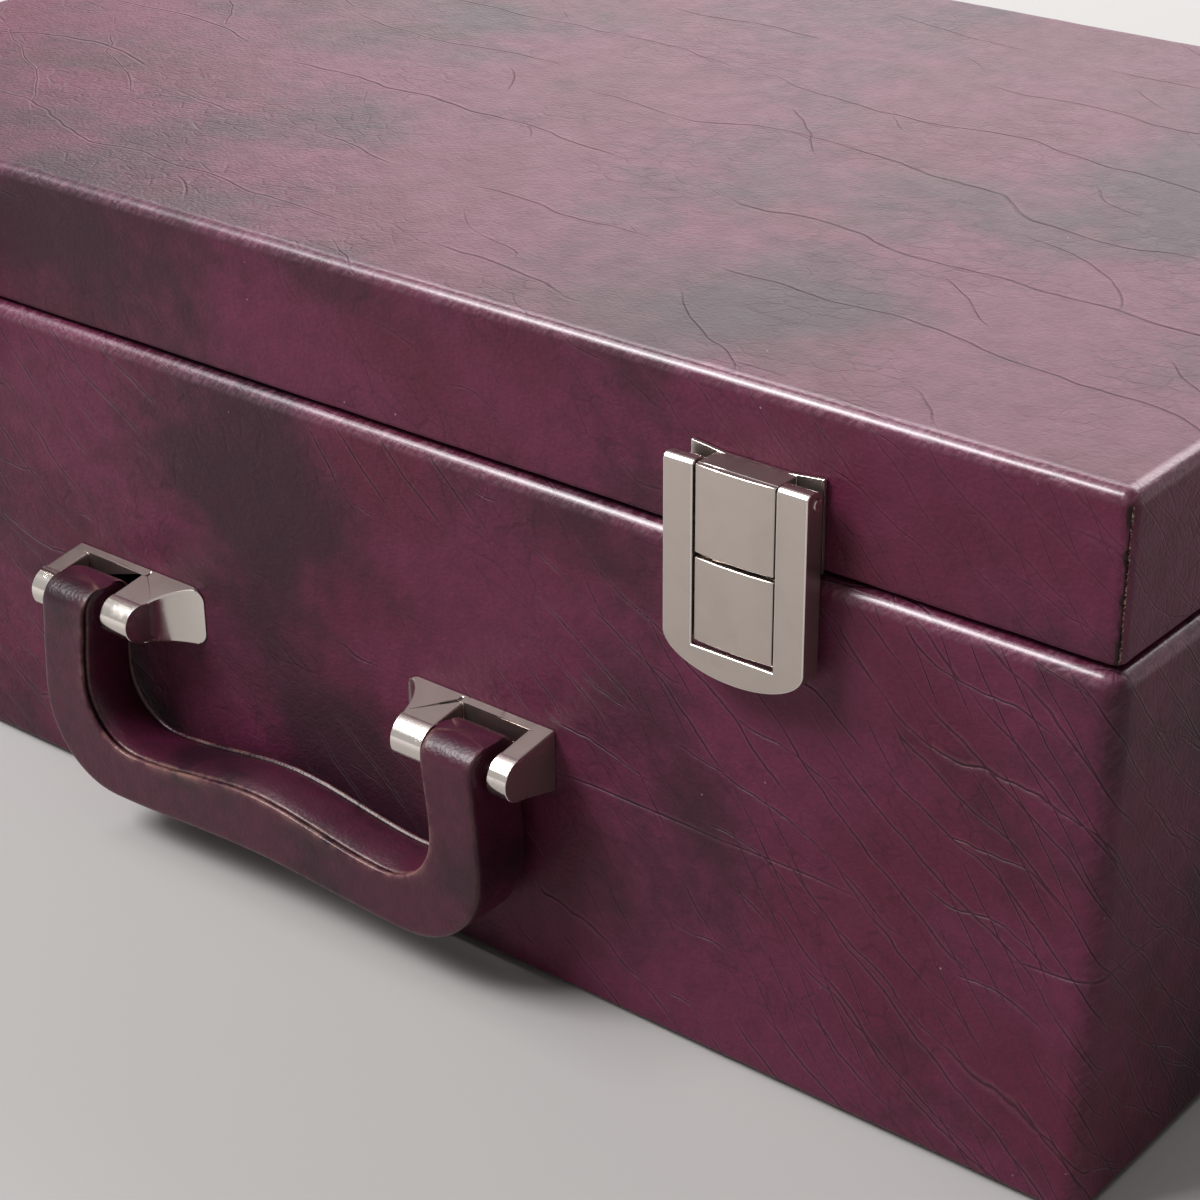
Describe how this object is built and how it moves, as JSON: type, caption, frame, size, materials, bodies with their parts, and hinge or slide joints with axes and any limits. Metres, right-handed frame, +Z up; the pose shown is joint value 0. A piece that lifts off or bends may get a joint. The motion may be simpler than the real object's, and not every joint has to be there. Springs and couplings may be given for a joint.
{
  "type": "chess piece storage box",
  "caption": "Leather-covered box with a hinged lid, two draw-down latches, a folding front handle and a lift-out tray with slots.",
  "frame": {"origin": "middle of the underside of the base sheet", "axes": "+X to the right as seen from the front, +Y to the back, +Z up"},
  "size_m": [0.42, 0.293, 0.16],
  "materials": {
    "case_leather": "burgundy faux leather, low sheen",
    "handle_leather": "moulded burgundy faux leather",
    "nickel": "satin nickel plate",
    "steel": "plain",
    "spring_steel": "blued",
    "board": "raw fibreboard",
    "card": "raw",
    "velvet": "short velvet on card",
    "ribbon": "satin ribbon",
    "base_felt": "thin felt"
  },
  "bodies": {
    "case": {"base_sheet": "base_felt", "base_filler": "card", "bottom_board": "board", "front_board": "board", "back_board": "board", "left_board": "board", "right_board": "board", "body_leather": "case_leather", "liner_front": "velvet", "liner_back": "velvet", "liner_left": "velvet", "liner_right": "velvet", "lower_card": "velvet", "lower_dividers": "velvet", "tray_rests": "velvet", "bracket_left": "nickel", "bracket_right": "nickel", "bracket_studs": "nickel", "handle_pins": "nickel", "catch_plate_left": "nickel", "catch_plate_right": "nickel", "catch_spring_left": "spring_steel", "catch_spring_right": "spring_steel", "catch_rivets": "nickel", "hinge_body_leaf_left": "nickel", "hinge_body_leaf_right": "nickel", "hinge_pin_left": "nickel", "hinge_pin_right": "nickel", "hinge_body_screws": "nickel"},
    "lid": {"lid_top_board": "board", "lid_rail_front": "board", "lid_rail_back": "board", "lid_rail_left": "board", "lid_rail_right": "board", "lid_leather": "case_leather", "lid_rail_lining": "velvet", "lid_pad": "velvet", "lid_plate_left": "nickel", "lid_plate_right": "nickel", "lid_rivets": "nickel", "hinge_lid_leaf_left": "nickel", "hinge_lid_leaf_right": "nickel", "hinge_lid_screws": "nickel"},
    "hasp_left": {"hasp_left": "nickel", "hasp_pin_left": "nickel"},
    "hasp_right": {"hasp_right": "nickel", "hasp_pin_right": "nickel"},
    "handle": {"handle_cover": "handle_leather", "handle_core": "steel", "handle_eyes": "steel"},
    "tray": {"tray_base": "board", "tray_front": "velvet", "tray_back": "velvet", "tray_left": "velvet", "tray_right": "velvet", "tray_card": "velvet", "tray_dividers": "velvet", "tray_ribbons": "ribbon"}
  },
  "joints": [
    {"name": "lid_hinge", "type": "hinge", "parent": "case", "child": "lid", "pos_m": [0, 0.1358, 0.1243], "axis": [-1, 0, 0], "range_deg": [0, 100]},
    {"name": "handle_swing", "type": "hinge", "parent": "case", "child": "handle", "pos_m": [0, -0.1441, 0.0595], "axis": [-1, 0, 0], "range_deg": [0, 165]},
    {"name": "tray_lift", "type": "slide", "parent": "case", "child": "tray", "axis": [0, 0, 1], "range_m": [0, 0.026]},
    {"name": "hasp_left_hinge", "type": "hinge", "parent": "lid", "child": "hasp_left", "pos_m": [-0.128, -0.1365, 0.1416], "axis": [-1, 0, 0], "range_deg": [0, 170], "deforming": ["catch_spring_left"]},
    {"name": "hasp_right_hinge", "type": "hinge", "parent": "lid", "child": "hasp_right", "pos_m": [0.128, -0.1365, 0.1416], "axis": [-1, 0, 0], "range_deg": [0, 170], "deforming": ["catch_spring_right"]}
  ]
}
